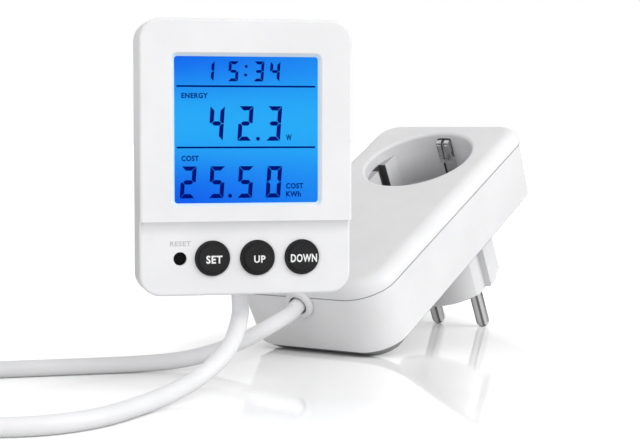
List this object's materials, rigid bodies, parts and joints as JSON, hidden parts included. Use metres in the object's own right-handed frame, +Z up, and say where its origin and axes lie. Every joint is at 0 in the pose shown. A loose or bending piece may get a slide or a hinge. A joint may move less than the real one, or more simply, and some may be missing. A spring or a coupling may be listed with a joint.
{
  "type": "smart energy monitor",
  "caption": "Mains plug-through metering adapter with earthed round socket, joined by a coiled cord to an upright display with a blue screen and push keys.",
  "frame": {"origin": "on the surface that the part stands on, under the middle of the box of the adapter and the display", "axes": "+Z up, -Y the way the display faces, +X to the display's right as it is read"},
  "size_m": [0.2822, 0.2111, 0.1042],
  "materials": {
    "white_shell": "satin",
    "key_dark": "satin",
    "screen_blue": "glossy",
    "clear_window": "polished",
    "light_guide": "glossy",
    "pin_metal": "satin",
    "contact_brass": "satin",
    "board_green": "satin",
    "chip_black": "matte",
    "capacitor_yellow": "satin",
    "capacitor_sleeve": "satin",
    "varistor_blue": "satin",
    "rubber_strip": "matte",
    "screw_steel": "satin",
    "cord_white": "satin"
  },
  "bodies": {
    "housing": {"adapter_cover": "white_shell", "adapter_base": "white_shell", "plug_insert": "white_shell", "plug_pins": "pin_metal", "plug_earth_contacts": "pin_metal", "socket_earth_strip": "pin_metal", "socket_contacts": "contact_brass", "live_bar": "contact_brass", "neutral_bar": "contact_brass", "metering_board": "board_green", "shunt": "pin_metal", "dropper_capacitor": "capacitor_yellow", "smoothing_capacitor": "capacitor_sleeve", "varistor": "varistor_blue", "meter_chip": "chip_black", "adapter_screws": "screw_steel", "cord_grommet": "cord_white", "adapter_cord_clamp": "white_shell", "display_front": "white_shell", "display_rear": "white_shell", "screen_window": "clear_window", "lcd_panel": "screen_blue", "backlight": "light_guide", "lcd_frame": "white_shell", "contact_strip": "rubber_strip", "display_board": "board_green", "driver_chip": "chip_black", "key_switches": "chip_black", "backup_cell": "pin_metal", "cell_clip": "pin_metal", "display_screws": "screw_steel", "display_cord_clamp": "white_shell", "cord_rear_run": "cord_white", "cord_coil": "cord_white", "cord_front_run": "cord_white", "cord_tie": "cord_white"},
    "set_key": {"set_key": "key_dark"},
    "up_key": {"up_key": "key_dark"},
    "down_key": {"down_key": "key_dark"},
    "reset_key": {"reset_key": "key_dark"},
    "rear_stand": {"rear_stand": "white_shell"}
  },
  "joints": [
    {"name": "set_key_press", "type": "slide", "parent": "housing", "child": "set_key", "axis": [0, 1, 0], "range_m": [0, 0.0007], "stiffness_N_per_m": 800},
    {"name": "up_key_press", "type": "slide", "parent": "housing", "child": "up_key", "axis": [0, 1, 0], "range_m": [0, 0.0007], "stiffness_N_per_m": 800},
    {"name": "down_key_press", "type": "slide", "parent": "housing", "child": "down_key", "axis": [0, 1, 0], "range_m": [0, 0.0007], "stiffness_N_per_m": 800},
    {"name": "reset_key_press", "type": "slide", "parent": "housing", "child": "reset_key", "axis": [0, 1, 0], "range_m": [0, 0.0005], "stiffness_N_per_m": 800},
    {"name": "stand_hinge", "type": "hinge", "parent": "housing", "child": "rear_stand", "pos_m": [-0.0467, -0.0585, 0.0906], "axis": [1, 0, 0], "range_deg": [0, 60]}
  ]
}
